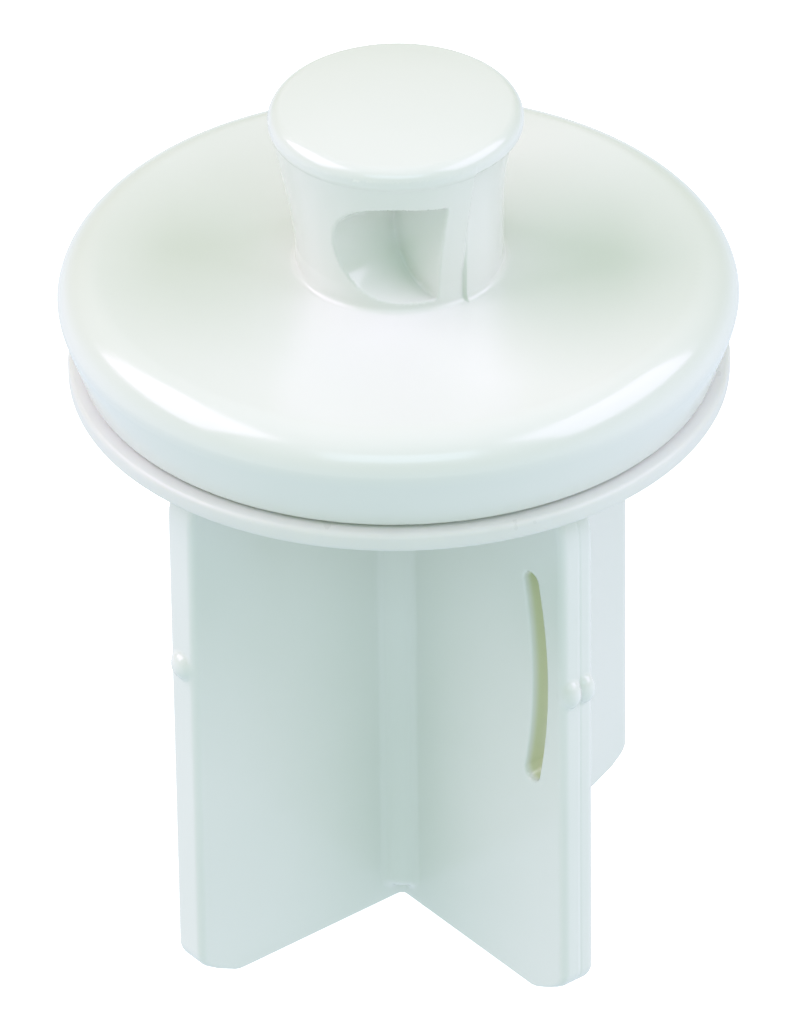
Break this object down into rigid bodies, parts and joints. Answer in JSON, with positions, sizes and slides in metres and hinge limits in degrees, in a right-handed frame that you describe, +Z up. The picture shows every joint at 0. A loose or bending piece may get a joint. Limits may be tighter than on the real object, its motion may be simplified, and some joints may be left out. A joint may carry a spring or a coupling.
{
  "type": "drain stopper",
  "caption": "Push-in basin drain stopper with a lift knob on a round cap, a flat seal washer, and crossed guide fins whose slotted fins carry springy strips.",
  "frame": {"origin": "on the stopper's axis, level with the bottom edges of its fins", "axes": "+Z up the axis towards the knob, +X along the right-hand slotted fin, -Y along the front plain fin"},
  "size_m": [0.038, 0.038, 0.0528],
  "materials": {
    "white_plastic": "glossy injection-moulded plastic",
    "seal_vinyl": "smooth soft vinyl, slightly translucent"
  },
  "bodies": {
    "stopper": {"knob_head": "white_plastic", "knob_stem": "white_plastic", "cap": "white_plastic", "washer_neck": "white_plastic", "centre_post": "white_plastic", "fin_front": "white_plastic", "fin_back": "white_plastic", "slotted_fin_right": "white_plastic", "slotted_fin_left": "white_plastic"},
    "washer": {"seal_washer": "seal_vinyl"},
    "strip_right": {"spring_strip_right": "white_plastic"},
    "strip_left": {"spring_strip_left": "white_plastic"}
  },
  "joints": [
    {"name": "washer_spin", "type": "hinge", "parent": "stopper", "child": "washer", "pos_m": [0, 0, 0.03565], "axis": [0, 0, 1], "continuous": true},
    {"name": "strip_right_flex", "type": "slide", "parent": "stopper", "child": "strip_right", "axis": [-1, 0, 0], "range_m": [0, 0.0006], "stiffness_N_per_m": 20000},
    {"name": "strip_left_flex", "type": "slide", "parent": "stopper", "child": "strip_left", "axis": [1, 0, 0], "range_m": [0, 0.0006], "stiffness_N_per_m": 20000}
  ]
}
